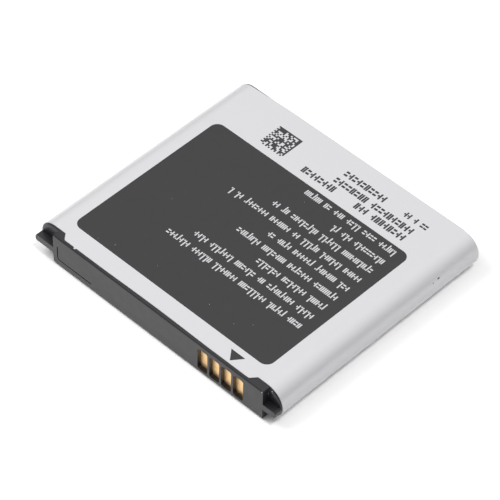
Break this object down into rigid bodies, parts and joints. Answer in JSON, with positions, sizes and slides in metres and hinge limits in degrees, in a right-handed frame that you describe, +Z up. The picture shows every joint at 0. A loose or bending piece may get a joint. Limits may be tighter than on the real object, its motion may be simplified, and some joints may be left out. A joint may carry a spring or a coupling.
{
  "type": "mobile phone battery",
  "caption": "Flat rechargeable battery pack with rounded long sides, wrapped in a printed label film, with a moulded end cap whose windows show a row of gold contacts.",
  "frame": {"origin": "middle of the pack's base, under the middle of its length and width", "axes": "+X along the contact edge with the contacts towards +X, -Y out of the contact face, +Z up through the printed face"},
  "size_m": [0.0522, 0.046, 0.0064],
  "materials": {
    "can": "drawn, satin",
    "gasket": "moulded, satin",
    "nickel": "nickel plated",
    "insulating_sheet": "die-cut",
    "board": "solder mask",
    "chip_body": "moulded, matte",
    "resistor": "glazed ends",
    "capacitor": "matte",
    "gold": "gold plated, satin",
    "cap_plastic": "fine moulded texture",
    "tape": "adhesive film",
    "plate_plastic": "moulded",
    "label": "printed film, satin silver-white",
    "ink": "printed ink, satin"
  },
  "bodies": {
    "root": {"cell": "can", "terminal_gasket": "gasket", "terminal_rivet": "nickel", "fill_plug": "can", "header_sheet": "insulating_sheet", "plus_lead": "nickel", "thermal_cutoff": "chip_body", "rivet_arm": "nickel", "outlet_arm": "nickel", "minus_lead": "nickel", "board": "board", "plus_land": "nickel", "minus_land": "nickel", "protection_chip": "chip_body", "power_switch": "chip_body", "chip_resistors": "resistor", "chip_capacitors": "capacitor", "contact_1": "gold", "contact_2": "gold", "contact_3": "gold", "contact_4": "gold", "end_cap": "cap_plastic", "cap_tape": "tape", "far_tape": "tape", "far_plate": "plate_plastic", "label_film": "label", "printed_panel": "ink", "arrow_mark": "ink"}
  },
  "joints": []
}
